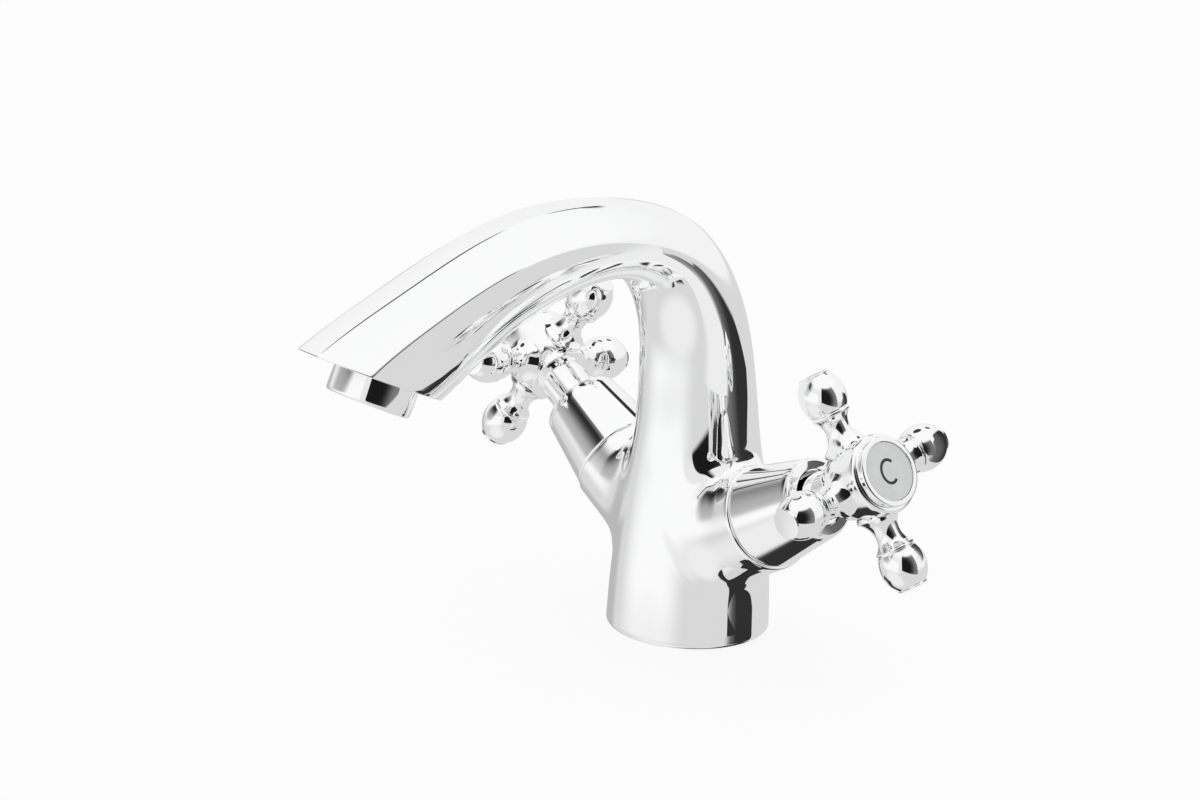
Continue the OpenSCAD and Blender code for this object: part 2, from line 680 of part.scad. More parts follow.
// Aerator, from its seat at the spout's end face down
aerator_r = aerator_d / 2;
tube_wall = 1.9;
tube_r = aerator_r - tube_wall;
lip_t = 1;
lip_w = 1;
washer_h = 1.2;
screen_t = 0.5;
screen_low = -aerator_h + lip_t;
insert_t = 6;
module aerator_housing() {
    color(chrome) at_outlet() rotate_extrude() difference() {
        union() {
            polygon([[0, -aerator_h], [aerator_r - 0.5, -aerator_h], [aerator_r - 0.15, -aerator_h + 0.4],
                [aerator_r, -aerator_h + 1.2], [aerator_r, -0.3], [aerator_r - 0.3, 0], [0, 0]]);
            translate([0, -cut]) square([aerator_thread_d / 2, aerator_depth - washer_h + cut]);
        }
        translate([-cut, -aerator_h - cut]) square([tube_r - lip_w + cut, aerator_h + aerator_depth + 2 * cut]);
        translate([-cut, screen_low]) square([tube_r + cut, aerator_h + aerator_depth + cut]);
    }
}
module aerator_washer() {
    hole_r = tube_r - 1.4;
    color(rubber) at_outlet() ring(aerator_thread_d / 2 - play, hole_r, aerator_depth - washer_h, aerator_depth);
}
module aerator_screen() {
    holes = 5;
    pitch = 3.4;
    hole_w = 2.4;
    solid_rim = 2.6;
    color(steel) at_outlet() difference() {
        rod(tube_r - fit, screen_low, screen_low + screen_t);
        for (i = [-holes:holes], j = [-holes:holes])
            if (norm([i, j]) * pitch < tube_r - solid_rim)
                translate([i * pitch - hole_w / 2, j * pitch - hole_w / 2, screen_low - cut])
                    cube([hole_w, hole_w, screen_t + 2 * cut]);
    }
}
module aerator_insert() {
    low = screen_low + screen_t;
    holes_at = 7;
    hole_r = 1.6;
    middle_r = 2.6;
    color(plastic) at_outlet() difference() {
        rod(tube_r - fit, low, low + insert_t);
        for (a = [0:45:315]) rotate([0, 0, a]) translate([holes_at, 0, low - cut])
            cylinder(r = hole_r, h = insert_t + 2 * cut);
        translate([0, 0, low - cut]) cylinder(r = middle_r, h = insert_t + 2 * cut);
    }
}

body_casting();
base_seal();
shroud(1);  // cold_shroud
shroud(-1);  // hot_shroud
bonnet(1);  // cold_bonnet
bonnet(-1);  // hot_bonnet
bonnet_seal(1);  // cold_bonnet_seal
bonnet_seal(-1);  // hot_bonnet_seal
seat_washer(1);  // cold_seat_washer
seat_washer(-1);  // hot_seat_washer
fixed_disc(1);  // cold_fixed_disc
fixed_disc(-1);  // hot_fixed_disc
moving_disc(1);  // cold_moving_disc
moving_disc(-1);  // hot_moving_disc
spindle(1);  // cold_spindle
spindle(-1);  // hot_spindle
spindle_seals(1);  // cold_spindle_seals
spindle_seals(-1);  // hot_spindle_seals
spindle_clip(1);  // cold_spindle_clip
spindle_clip(-1);  // hot_spindle_clip
handle(1);  // cold_handle
handle(-1);  // hot_handle
handle_screw(1);  // cold_handle_screw
handle_screw(-1);  // hot_handle_screw
index_ring(1);  // cold_index_ring
index_ring(-1);  // hot_index_ring
index_plate(1);  // cold_index_plate
index_plate(-1);  // hot_index_plate
aerator_housing();
aerator_washer();
aerator_insert();
aerator_screen();
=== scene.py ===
"""Basin mixer tap: polished chrome pieces, finishes for the inner parts, a white studio and the camera.

Shapes are worked out in millimetres and written in metres. X is to the right, -Y is where the spout
points and Z is up from the basin's top.
"""

import math

import bmesh
import bpy
import numpy as np
from mathutils import Matrix, Vector


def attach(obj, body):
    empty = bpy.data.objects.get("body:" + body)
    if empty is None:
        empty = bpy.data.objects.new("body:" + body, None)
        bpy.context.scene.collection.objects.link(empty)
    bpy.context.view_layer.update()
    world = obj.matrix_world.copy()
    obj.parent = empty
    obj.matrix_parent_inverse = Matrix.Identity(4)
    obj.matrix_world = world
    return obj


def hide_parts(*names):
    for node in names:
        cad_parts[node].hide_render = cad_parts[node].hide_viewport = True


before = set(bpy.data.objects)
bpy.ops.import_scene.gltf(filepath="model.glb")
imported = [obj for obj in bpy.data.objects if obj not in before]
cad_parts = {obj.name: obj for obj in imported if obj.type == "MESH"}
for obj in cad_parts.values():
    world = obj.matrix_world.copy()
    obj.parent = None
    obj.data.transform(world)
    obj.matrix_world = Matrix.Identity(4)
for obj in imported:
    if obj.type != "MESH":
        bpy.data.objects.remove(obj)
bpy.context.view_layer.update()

MM = 0.001

# Sizes that the pieces share with the solids
FOOT_R = 25.0
FOOT_EDGE = 1.2
NECK_R = 17.5
ARCH_H = 132.5
REACH = 123.0
OUTLET_H = 99.0
OUTLET_TILT = math.radians(24.5)
CREASE_X = 4.5
RIDGE = 24.0
VALVE_H = 24.5
VALVE_TILT = math.radians(30)
BRANCH_LEN = 38.7
BRANCH_R = 16.2
BRANCH_EDGE = 0.8
BLEND = 13.0
UNDER_BLEND = 9.0
HANDLE_TURN = math.radians(11.5)
ARMS_AT = 43.8
SIDES = {"cold": 1, "hot": -1}

# The casting's bores: a bonnet's mouth and bore, the groove for the base seal and the aerator's seat
MOUTH_R = 12.35
MOUTH_DEPTH = 1.8
BORE_R = 10.45
BORE_END = 23.0
GROOVE_OUT = 22.8
GROOVE_IN = 20.5
GROOVE_DEPTH = 1.8
OUTLET_BORE_R = 11.85
OUTLET_BORE_DEPTH = 5.0
# Holes under the foot, two inlets and the stud's: place across and back, radius and depth
FOOT_HOLES = ((9.5, 4, 4.5, 11), (-9.5, 4, 4.5, 11), (0, -12, 3.4, 16))


# Finishes
# Values at which a noise pattern counts as dark and as light
PATTERN_DARK = 0.3
PATTERN_LIGHT = 0.7


def tree_of(name):
    material = bpy.data.materials.new(name)
    material.use_nodes = True
    tree = material.node_tree
    return material, tree, tree.nodes["Principled BSDF"]


def noise(tree, scale, detail=3.0, stretch=None):
    """A noise pattern fixed to the piece, in object coordinates."""
    place = tree.nodes.new("ShaderNodeTexCoord")
    pattern = tree.nodes.new("ShaderNodeTexNoise")
    pattern.inputs["Scale"].default_value = scale
    pattern.inputs["Detail"].default_value = detail
    if stretch:
        mapping = tree.nodes.new("ShaderNodeMapping")
        mapping.inputs["Scale"].default_value = stretch
        tree.links.new(place.outputs["Object"], mapping.inputs["Vector"])
        tree.links.new(mapping.outputs["Vector"], pattern.inputs["Vector"])
    else:
        tree.links.new(place.outputs["Object"], pattern.inputs["Vector"])
    return pattern.outputs["Fac"]


def spread(tree, source, socket, low, high):
    """Runs a socket between two values as a pattern goes from dark to light."""
    span = tree.nodes.new("ShaderNodeMapRange")
    span.inputs["From Min"].default_value = PATTERN_DARK
    span.inputs["From Max"].default_value = PATTERN_LIGHT
    span.inputs["To Min"].default_value = low
    span.inputs["To Max"].default_value = high
    tree.links.new(source, span.inputs["Value"])
    tree.links.new(span.outputs["Result"], socket)


def tint(tree, source, socket, dark, light):
    """Runs a colour socket between two colours as a pattern goes from dark to light."""
    ramp = tree.nodes.new("ShaderNodeValToRGB")
    ramp.color_ramp.elements[0].position = PATTERN_DARK
    ramp.color_ramp.elements[0].color = (*dark, 1)
    ramp.color_ramp.elements[1].position = PATTERN_LIGHT
    ramp.color_ramp.elements[1].color = (*light, 1)
    tree.links.new(source, ramp.inputs["Fac"])
    tree.links.new(ramp.outputs["Color"], socket)


def bump(tree, source, shader, strength, depth):
    relief = tree.nodes.new("ShaderNodeBump")
    relief.inputs["Strength"].default_value = strength
    relief.inputs["Distance"].default_value = depth
    tree.links.new(source, relief.inputs["Height"])
    tree.links.new(relief.outputs["Normal"], shader.inputs["Normal"])


def polished_chrome():
    material, tree, shader = tree_of("polished_chrome")
    shader.inputs["Metallic"].default_value = 1.0
    haze = noise(tree, 45.0, 4.0)
    spread(tree, haze, shader.inputs["Roughness"], 0.015, 0.045)
    base = shader.inputs["Base Color"]
    tint(tree, noise(tree, 18.0), base, (0.95, 0.953, 0.958), (0.965, 0.965, 0.968))
    return material


def turned_metal(name, dark, light, rough):
    """Brass or steel as it leaves the lathe, with fine turning marks."""
    material, tree, shader = tree_of(name)
    shader.inputs["Metallic"].default_value = 1.0
    marks = noise(tree, 900.0, 2.0, (0.15, 1.0, 1.0))
    spread(tree, marks, shader.inputs["Roughness"], rough - 0.06, rough + 0.08)
    tint(tree, noise(tree, 120.0), shader.inputs["Base Color"], dark, light)
    bump(tree, marks, shader, 0.15, 0.00005)
    return material


def moulded(name, dark, light, rough, grain, depth):
    """Rubber, plastic or ceramic with a fine grain."""
    material, tree, shader = tree_of(name)
    pattern = noise(tree, grain, 5.0)
    spread(tree, pattern, shader.inputs["Roughness"], rough - 0.07, rough + 0.07)
    tint(tree, noise(tree, grain / 12), shader.inputs["Base Color"], dark, light)
    bump(tree, pattern, shader, 0.2, depth)
    return material


def index_enamel():
    material, tree, shader = tree_of("index_enamel")
    spread(tree, noise(tree, 260.0), shader.inputs["Roughness"], 0.16, 0.24)
    base = shader.inputs["Base Color"]
    tint(tree, noise(tree, 300.0), base, (0.64, 0.645, 0.65), (0.68, 0.685, 0.69))
    shader.inputs["Coat Weight"].default_value = 0.35
    shader.inputs["Coat Roughness"].default_value = 0.08
    return material


chrome = polished_chrome()
brass = turned_metal("turned_brass", (0.62, 0.45, 0.19), (0.76, 0.58, 0.28), 0.28)
steel = turned_metal("turned_steel", (0.54, 0.55, 0.56), (0.66, 0.67, 0.68), 0.26)
ceramic = moulded("ground_ceramic", (0.86, 0.85, 0.81), (0.92, 0.91, 0.87), 0.22, 1500.0, 0.00001)
rubber = moulded("seal_rubber", (0.012, 0.012, 0.013), (0.028, 0.028, 0.03), 0.55, 900.0, 0.00003)
plastic = moulded("insert_plastic", (0.74, 0.74, 0.72), (0.8, 0.8, 0.78), 0.4, 700.0, 0.00002)
enamel = index_enamel()
ink = moulded("index_black", (0.008, 0.008, 0.009), (0.02, 0.02, 0.022), 0.35, 1200.0, 0.00001)


# Meshes
# Edges that turn by more than this are shown sharp
SHARP = math.radians(32)


class Shell:
    """Points and faces of one piece, in millimetres."""

    def __init__(self):
        self.points = []
        self.faces = []

    def add(self, points):
        first = len(self.points)
        self.points.extend(tuple(float(c) for c in p) for p in points)
        return list(range(first, len(self.points)))

    def band(self, low, high):
        for j in range(len(low)):
            k = (j + 1) % len(low)
            self.faces.append((low[j], low[k], high[k], high[j]))

    def grow(self, ring, points):
        """Adds a ring of points and the band of faces that joins it to the ring before."""
        new = self.add(points)
        self.band(ring, new)
        return new

    def fan(self, ring):
        middle = self.add([np.mean([self.points[i] for i in ring], axis=0)])[0]
        for j in range(len(ring)):
            self.faces.append((ring[j], ring[(j + 1) % len(ring)], middle))


def placed(name, data):
    obj = bpy.data.objects.new(name, data)
    bpy.context.scene.collection.objects.link(obj)
    return obj


def plain_mesh(obj):
    """The mesh that an object's modifiers make."""
    return bpy.data.meshes.new_from_object(obj.evaluated_get(bpy.context.evaluated_depsgraph_get()))


def smooth(obj):
    obj.data.shade_smooth()
    obj.data.set_sharp_from_angle(angle=SHARP)


def build(name, shell, finish, fill_flat=False):
    mesh = bpy.data.meshes.new(name)
    mesh.from_pydata([tuple(c * MM for c in p) for p in shell.points], [], shell.faces)
    work = bmesh.new()
    work.from_mesh(mesh)
    if fill_flat:
        edges = [e for e in work.edges if e.is_boundary]
        bmesh.ops.triangle_fill(work, use_beauty=True, use_dissolve=False, edges=edges)
    bmesh.ops.recalc_face_normals(work, faces=work.faces)
    work.to_mesh(mesh)
    work.free()
    mesh.materials.append(finish)
    obj = placed(name, mesh)
    smooth(obj)
    return obj


def joined(name, first, *others):
    """One closed piece from overlapping closed pieces."""
    for other in others:
        cut = first.modifiers.new("join", "BOOLEAN")
        cut.operation = "UNION"
        cut.solver = "MANIFOLD"
        cut.object = other
    whole = plain_mesh(first)
    whole.name = name
    obj = placed(name, whole)
    smooth(obj)
    for part in (first, *others):
        bpy.data.objects.remove(part)
    return obj


def seat(obj, body, slot, *nodes):
    """Sets a piece on its body and in the place of its solids, which it hides; the slot is not used."""
    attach(obj, body)
    if nodes:
        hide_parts(*nodes)


def arc(centre, radius, low, high, steps):
    """Points (distance, radius) round a corner; the angle is taken from the radius to the distance."""
    turns = np.radians(np.linspace(low, high, steps + 1))
    return [(centre[0] + radius * math.sin(w), centre[1] + radius * math.cos(w)) for w in turns]


def off_axis(side, s, across, up):
    """Points s along a valve's axis from the column's axis, then across it and up from it."""
    x = side * (s * math.cos(VALVE_TILT) - up * math.sin(VALVE_TILT))
    z = VALVE_H + s * math.sin(VALVE_TILT) + up * math.cos(VALVE_TILT)
    return np.stack([x, across, z], axis=-1)


def on_valve(side, s, r, w):
    """Points round a valve's axis: s along it, r from it and w round it."""
    w = np.asarray(w, float)
    return off_axis(side, s, r * np.sin(w), r * np.cos(w))


def round_valve(side):
    return lambda f, r, w: on_valve(side, BRANCH_LEN + f, r, w)


def round_outlet(h, r, w):
    """Points round the outlet's axis: h up from the aerator's seat into the spout."""
    x = r * np.cos(w)
    v = r * np.sin(w)
    y = -REACH + v * math.cos(OUTLET_TILT) + h * math.sin(OUTLET_TILT)
    z = OUTLET_H - v * math.sin(OUTLET_TILT) + h * math.cos(OUTLET_TILT)
    return np.stack([x, y, z], axis=-1)


def turn(count):
    return np.linspace(0, 2 * math.pi, count, endpoint=False)


def lathe(outline, place, count, loop=True):
    """A profile of (distance, radius) turned about an axis; place puts it on the tap."""
    shell = Shell()
    rings = [shell.add(place(at, r, turn(count))) for at, r in outline]
    for low, high in zip(rings, rings[1:]):
        shell.band(low, high)
    if loop:
        shell.band(rings[-1], rings[0])
    else:
        shell.fan(rings[0])
        shell.fan(rings[-1])
    return shell


# The body's lines: a spline through stations from the foot to the spout's tip
COLUMN_STEP = 0.121
# How much of the foot's extra radius is left at each of the column's stations
SWELL = [1, 0.93, 0.73, 0.47, 0.13]
# Place as a share of the reach, height as a share of the arch's height, or of the fall to the outlet,
# then above, below and beside the widest line as shares of the neck's radius, and the ridge's share
RISE = [
    [0.012, 0.623, 1.00, 1.00, 1.00, 0.00],
    [0.045, 0.758, 0.94, 0.74, 1.00, 0.00],
    [0.126, 0.887, 0.89, 0.66, 1.00, 0.08],
    [0.240, 0.958, 0.63, 0.66, 1.00, 0.25],
    [0.390, 0.996, 0.46, 0.89, 1.00, 0.42],
    [0.561, 1.000, 0.46, 1.23, 0.94, 0.58],
]
FALL = [
    [0.748, 0.166, 0.43, 1.43, 0.89, 0.71],
    [0.923, 0.447, 0.43, 1.77, 0.89, 0.83],
    [1.089, 0.732, 0.49, 1.77, 0.91, 0.92],
    [1.224, 1.060, 0.57, 1.20, 1.03, 1.00],
]


def body_stations():
    """Rows of y, z, above, below, half width and ridge, with one more at each end for the spline."""
    rows = []
    for k, swell in enumerate(SWELL):
        r = 1 + (FOOT_R / NECK_R - 1) * swell
        rows.append([0, ARCH_H * COLUMN_STEP * k, r, r, r, 0])
    for row in RISE:
        rows.append([-REACH * row[0], ARCH_H * row[1], *row[2:]])
    for row in FALL:
        rows.append([-REACH * row[0], ARCH_H - (ARCH_H - OUTLET_H) * row[1], *row[2:]])
    rows = np.array(rows, float)
    rows[:, 2:5] *= NECK_R
    rows[:, 5] *= RIDGE
    return np.vstack([2 * rows[0] - rows[1], rows, 2 * rows[-1] - rows[-2]])


PADDED = body_stations()
LAST = len(PADDED) - 3


def along(s):
    """The spline's rows and their slopes at places s."""
    s = np.asarray(s, float)
    i = np.clip(np.floor(s).astype(int), 0, LAST - 1)
    t = (s - i)[..., None]
    a, b, c, d = (PADDED[i + n] for n in range(4))
    at = (
        (1 - t) ** 3 * a
        + (3 * t**3 - 6 * t**2 + 4) * b
        + (-3 * t**3 + 3 * t**2 + 3 * t + 1) * c
        + t**3 * d
    ) / 6
    slope = (
        -((1 - t) ** 2) * a
        + (3 * t**2 - 4 * t) * b
        + (-3 * t**2 + 2 * t + 1) * c
        + t**2 * d
    ) / 2
    return at, slope


def column_r(z):
    """The column's round radius at a height."""
    return along(np.asarray(z) / (ARCH_H * COLUMN_STEP))[0][..., 2]


# Faces across each stretch of half a section, from the crown's middle to the belly's
CROWN = 5
CREASE = 5
FLANK = 28
BELLY = 32
CREASE_ROUND = 0.5
# Ridge in degrees at which the crown would be flat, the least of its round that stays, and the least
# height of the flank's knee as a share of the crease's
FLAT_RIDGE = 12
LEAST_CROWN = 0.15
LEAST_KNEE = 0.15


def half_sections(above, below, half, ridge):
    """Rows of (x, up) from the crown's middle round to the belly's middle."""
    above, below, half, ridge = (v[:, None] for v in (above, below, half, ridge))
    lean = np.arcsin(CREASE_X / half)
    domed = np.maximum(1 - ridge / FLAT_RIDGE, LEAST_CROWN)
    crease = above - (half - np.sqrt(half**2 - CREASE_X**2)) * domed
    fall = lean + np.radians(ridge)
    knee = np.maximum(crease - np.tan(fall) * (half - CREASE_X), LEAST_KNEE * crease)
    weight = np.cos((math.pi / 2 - fall) / 2)

    def crown(t):
        return CREASE_X * t + 0 * crease, crease + np.tan(lean * domed) * CREASE_X / 2 * (1 - t**2)

    def flank(t):
        a, b, c = (1 - t) ** 2, 2 * weight * t * (1 - t), t**2
        return (a * CREASE_X + (b + c) * half) / (a + b + c), (a * crease + b * knee) / (a + b + c)

    first = 1 - CREASE_ROUND / CREASE_X
    next_t = CREASE_ROUND / (2 * weight * np.hypot(half - CREASE_X, crease - knee))
    cx, cy = crown(first * np.arange(CROWN) / CROWN + 0 * crease)
    ax, ay = crown(first + 0 * crease)
    bx, by = flank(next_t)
    t = np.arange(CREASE) / CREASE
    rx = (1 - t) ** 2 * ax + 2 * t * (1 - t) * CREASE_X + t**2 * bx
    ry = (1 - t) ** 2 * ay + 2 * t * (1 - t) * crease + t**2 * by
    fx, fy = flank(next_t + (1 - next_t) * np.arange(FLANK) / FLANK)
    w = np.pi / 2 * np.arange(BELLY + 1) / BELLY
    x = np.hstack([cx, rx, fx, half * np.cos(w)])
    up = np.hstack([cy, ry, fy, -below * np.sin(w)])
    return x, up


def body_rows(s):
    """Half rings of the body at places s, as an array of places, columns and coordinates."""
    at, slope = along(s)
    run = slope[:, :2] / np.linalg.norm(slope[:, :2], axis=1)[:, None]
    x, up = half_sections(at[:, 2], at[:, 3], at[:, 4], at[:, 5])
    y = at[:, 0][:, None] + up * run[:, 1][:, None]
    z = at[:, 1][:, None] - up * run[:, 0][:, None]
    return np.stack([x, y, z], axis=-1)


def whole_rings(half):
    """Adds the mirrored half to half rings."""
    other = half[:, -2:0:-1].copy()
    other[..., 0] *= -1
    return np.concatenate([half, other], axis=1)


# How far the column's side stands off its round radius above the joint with the arch
STAND_STEP = 0.5
STAND_TURN = 2.0
STAND_Z = np.arange(44, 76, STAND_STEP)
STAND_W = np.arange(0, 181, STAND_TURN)
STAND_FROM = 46


def stand_off():
    """A table of that distance over heights and over degrees from the back."""
    rows = body_rows(np.arange(2.6, 5.2, 1 / 32))
    rho = np.hypot(rows[..., 0], rows[..., 1])
    phi = np.degrees(np.arctan2(rows[..., 0], rows[..., 1]))
    at_z = []
    for j in range(rows.shape[1]):
        z = rows[:, j, 2]
        at_z.append((np.interp(STAND_Z, z, phi[:, j]), np.interp(STAND_Z, z, rho[:, j])))
    table = []
    for i in range(len(STAND_Z)):
        table.append(np.interp(STAND_W, [c[0][i] for c in at_z], [c[1][i] for c in at_z]))
    return np.array(table) - column_r(STAND_Z)[:, None]


STAND = stand_off()


def column_side(z, phi):
    """The column's real radius at a height and an angle from the back."""
    i = np.clip((z - STAND_Z[0]) / STAND_STEP, 0, len(STAND_Z) - 1.001)
    j = np.clip(np.degrees(phi) / STAND_TURN, 0, len(STAND_W) - 1.001)
    a, b = i.astype(int), j.astype(int)
    u, v = i - a, j - b
    extra = (STAND[a, b] * (1 - u) * (1 - v) + STAND[a + 1, b] * u * (1 - v)
             + STAND[a, b + 1] * (1 - u) * v + STAND[a + 1, b + 1] * u * v)
    return column_r(z) + np.where(z > STAND_FROM, extra, 0)


def ease(t):
    t = np.clip(t, 0, 1)
    return t * t * (3 - 2 * t)


BRANCH_START = 14.0
BRANCH_RING = BRANCH_LEN - BRANCH_EDGE
# The blend starts to widen this far below the branch's axis and takes this long to, both in radii
WIDER_FROM = 0.2
WIDER_OVER = 0.9
# It grows and dies away over this length along the branch
BLEND_RUN = 8


def off_branch(p):
    """Distance of points to the blended skin of the column and the branch on the right."""
    x, y, z = p[:, 0], p[:, 1], p[:, 2]
    c, n = math.cos(VALVE_TILT), math.sin(VALVE_TILT)
    s = x * c + (z - VALVE_H) * n
    up = -x * n + (z - VALVE_H) * c
    dr = np.hypot(y, up) - BRANCH_R
    ds = BRANCH_START - s
    branch = np.hypot(np.maximum(dr, 0), np.maximum(ds, 0)) + np.minimum(np.maximum(dr, ds), 0)
    column = np.hypot(x, y) - column_side(z, np.arctan2(x, y))
    k = UNDER_BLEND + (BLEND - UNDER_BLEND) * ease((up / BRANCH_R + WIDER_FROM) / WIDER_OVER)
    k = k * ease((s - BLEND_RUN) / BLEND_RUN) * ease((BRANCH_RING - s) / BLEND_RUN) + 1e-6
    h = np.clip(1 - np.abs(column - branch) / k, 0, 1)
    return np.minimum(column, branch) - h**3 * k / 6


def steepest(distance, p, step=0.01):
    """The slope of a distance at points."""
    g = np.zeros_like(p)
    for axis in range(3):
        shift = np.zeros(3)
        shift[axis] = step
        g[:, axis] = (distance(p + shift) - distance(p - shift)) / (2 * step)
    return g


# How far a point moves to its neighbours' middle in a round, the rounds, and those without such moves
EVEN_SHARE = 0.6
EVEN_ROUNDS = 120
LAST_ROUNDS = 3


def settle(distance, grid):
    """Moves a grid of points onto a skin and evens it out; its first and last rows stay."""
    p = grid.copy()
    shape = p[1:-1].shape
    for k in range(EVEN_ROUNDS + LAST_ROUNDS):
        inner = p[1:-1].reshape(-1, 3)
        g = steepest(distance, inner)
        size = np.sum(g * g, axis=1)[:, None]
        if k < EVEN_ROUNDS:
            mean = (p[:-2] + p[2:] + np.roll(p, 1, 1)[1:-1] + np.roll(p, -1, 1)[1:-1]) / 4
            move = (mean - p[1:-1]).reshape(-1, 3)
            move -= g * (np.sum(move * g, axis=1)[:, None] / size)
            inner = inner + EVEN_SHARE * move
        inner = inner - g * (distance(inner)[:, None] / size)
        p[1:-1] = inner.reshape(shape)
    return p


# Rows of faces along the spline: a step up to the end of the bend, then a count to the spout's tip
ROW_STEP = 1 / 16
BEND_END = 8.0
TIP_ROWS = 76
# Radius of the round at the tip's edge
TIP_ROUND = 0.5
# Steps for each station in which the tip's end is looked for
FINE = 64
# Rows of faces from an opening in the column to the branch's ring
GRAFT_ROWS = 34
# Halvings in which a line's meeting with the column is found
HALVINGS = 24
# Faces round an edge of the foot or of a branch
EDGE_STEPS = 6
# An opening that a branch grows from: places along the spline, and degrees from the back
OPENING_PLACES = (0.38, 4.12)
OPENING_TURN = (8, 172)


def branch_meeting(w):
    """Where each line along the branch meets the column."""
    low = np.zeros_like(w)
    high = np.full_like(w, BRANCH_RING)
    for _ in range(HALVINGS):
        mid = (low + high) / 2
        p = np.array([on_valve(1, m, BRANCH_R, v) for m, v in zip(mid, w)])
        out = np.hypot(p[:, 0], p[:, 1]) > column_side(p[:, 2], np.arctan2(p[:, 0], p[:, 1]))
        high = np.where(out, mid, high)
        low = np.where(out, low, mid)
    return np.array([on_valve(1, m, BRANCH_R, v) for m, v in zip(low, w)])


def graft_grid(edge):
    """Rows from an opening's edge in the column out to the ring behind the branch's edge."""
    up = -edge[:, 0] * math.sin(VALVE_TILT) + (edge[:, 2] - VALVE_H) * math.cos(VALVE_TILT)
    w = np.arctan2(edge[:, 1], up)
    corner = branch_meeting(w)
    ring = on_valve(1, BRANCH_RING, BRANCH_R, w)
    first = np.linalg.norm(edge - corner, axis=1)
    second = np.linalg.norm(ring - corner, axis=1)
    grid = []
    for k in range(GRAFT_ROWS + 1):
        run = (first + second) * k / GRAFT_ROWS
        t = np.clip(run / first, 0, 1)
        phi = (1 - t) * np.arctan2(edge[:, 0], edge[:, 1]) + t * np.arctan2(corner[:, 0], corner[:, 1])
        z = (1 - t) * edge[:, 2] + t * corner[:, 2]
        r = column_side(z, phi)
        on_column = np.stack([r * np.sin(phi), r * np.cos(phi), z], axis=-1)
        u = np.clip((run - first) / second, 0, 1)[:, None]
        grid.append(np.where((run < first)[:, None], on_column, corner * (1 - u) + ring * u))
    grid[0] = edge
    grid[-1] = ring
    return settle(off_branch, np.array(grid)), w


def open_column(shell, ids, places, half):
    """Faces up to the bend's end except in the two openings; gives the rim of the right opening."""
    around = len(ids[0])
    phi = np.degrees(np.arctan2(half[0, :, 0], half[0, :, 1]))
    j0 = np.argmax(phi > OPENING_TURN[0])
    j1 = len(phi) - 1 - np.argmax(phi[::-1] < OPENING_TURN[1])
    i0, i1 = (np.argmax(places > place) for place in OPENING_PLACES)
    for i in range(len(ids) - 1):
        for j in range(around):
            k = (j + 1) % around
            right = j0 <= j < j1
            left = j0 < around - j <= j1
            if i0 <= i < i1 and (right or left):
                continue
            shell.faces.append((ids[i][j], ids[i][k], ids[i + 1][k], ids[i + 1][j]))
    rim = [(i0, j) for j in range(j0, j1)] + [(i, j1) for i in range(i0, i1)]
    rim += [(i1, j) for j in range(j1, j0, -1)] + [(i, j0) for i in range(i1, i0, -1)]
    return rim


def branches(shell, ids, rim, half):
    """Both branches, from the rims of the openings to the bonnets' bores."""
    around = len(ids[0])
    grid, w = graft_grid(np.array([half[i, j] for i, j in rim]))
    outline = arc((BRANCH_RING, BRANCH_R - BRANCH_EDGE), BRANCH_EDGE, 0, 90, EDGE_STEPS)[1:]
    step_at = BRANCH_LEN - MOUTH_DEPTH
    outline += [(BRANCH_LEN, MOUTH_R), (step_at, MOUTH_R), (step_at, BORE_R), (BORE_END, BORE_R)]
    for side in SIDES.values():
        ring = [ids[i][j if side > 0 else (around - j) % around] for i, j in rim]
        for row in grid[1:]:
            ring = shell.grow(ring, row * (side, 1, 1))
        for s, r in outline:
            ring = shell.grow(ring, on_valve(side, s, r, w))
        shell.fan(ring)


def foot(shell, ring, row):
    """The foot with its seal groove and holes; build fills the flat between them."""
    directions = row[:, :2] / np.hypot(row[:, 0], row[:, 1])[:, None]
    middle = (0, float(column_r(FOOT_EDGE)) - FOOT_EDGE)
    outline = [(FOOT_EDGE - d, r) for d, r in arc(middle, FOOT_EDGE, 0, 90, EDGE_STEPS)[1:]]
    outline += [(0, GROOVE_OUT), (GROOVE_DEPTH, GROOVE_OUT), (GROOVE_DEPTH, GROOVE_IN), (0, GROOVE_IN)]
    for z, r in outline:
        ring = shell.grow(ring, [(r * a, r * b, z) for a, b in directions])
    for x, y, r, depth in FOOT_HOLES:
        mouth = [(x + r * math.cos(v), y + r * math.sin(v)) for v in turn(48)]
        ring = shell.add([(a, b, 0) for a, b in mouth])
        shell.fan(shell.grow(ring, [(a, b, depth) for a, b in mouth]))


